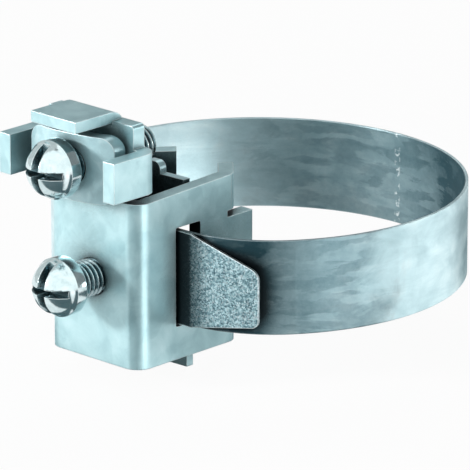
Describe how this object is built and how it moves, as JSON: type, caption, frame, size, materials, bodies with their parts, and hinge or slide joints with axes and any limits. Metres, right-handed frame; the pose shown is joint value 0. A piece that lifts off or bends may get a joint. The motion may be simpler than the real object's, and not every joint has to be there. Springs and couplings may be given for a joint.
{
  "type": "earthing pipe clamp",
  "caption": "Galvanised steel strap drawn round a pipe by a screw and pressure plate in a folded body, with a screw terminal on top for the earthing conductor.",
  "frame": {"origin": "centre of the strap loop, halfway up the strap's width, on the pipe's axis", "axes": "+Z along the pipe towards the terminal, +Y from the screw heads through the clamp body towards the pipe, +X to the side where the strap's tail shows"},
  "size_m": [0.0892, 0.1117, 0.0598],
  "materials": {
    "galvanised_sheet": "hot-dip galvanised, cloudy spangle",
    "galvanised_strip": "galvanised strip, softly mottled",
    "galvanised_plate": "hot-dip galvanised, even",
    "zinc_plated_screw": "zinc plated, satin"
  },
  "bodies": {
    "clamp": {"clamp_body": "galvanised_sheet", "strap": "galvanised_strip"},
    "pressure_plate": {"pressure_plate": "galvanised_plate"},
    "tension_screw": {"tension_screw": "zinc_plated_screw"},
    "clamping_plate": {"clamping_plate": "galvanised_plate"},
    "terminal_screw": {"terminal_screw": "zinc_plated_screw"}
  },
  "joints": [
    {"name": "pressure_travel", "type": "slide", "parent": "clamp", "child": "pressure_plate", "axis": [0, 1, 0], "range_m": [-0.005, 0.006]},
    {"name": "tension_turn", "type": "hinge", "parent": "pressure_plate", "child": "tension_screw", "pos_m": [0, 0, 0], "axis": [0, 1, 0], "range_deg": [-1439, 1727]},
    {"name": "clamping_travel", "type": "slide", "parent": "clamp", "child": "clamping_plate", "axis": [0, 1, 0], "range_m": [-0.006, 0.00018]},
    {"name": "terminal_turn", "type": "hinge", "parent": "clamping_plate", "child": "terminal_screw", "pos_m": [0, 0, 0.02575], "axis": [0, 1, 0], "range_deg": [-1727, 51]}
  ],
  "couplings": [
    {"joint": "pressure_travel", "follows": "tension_turn", "m_per_rad": 0.00019894},
    {"joint": "clamping_travel", "follows": "terminal_turn", "m_per_rad": 0.00019894}
  ]
}
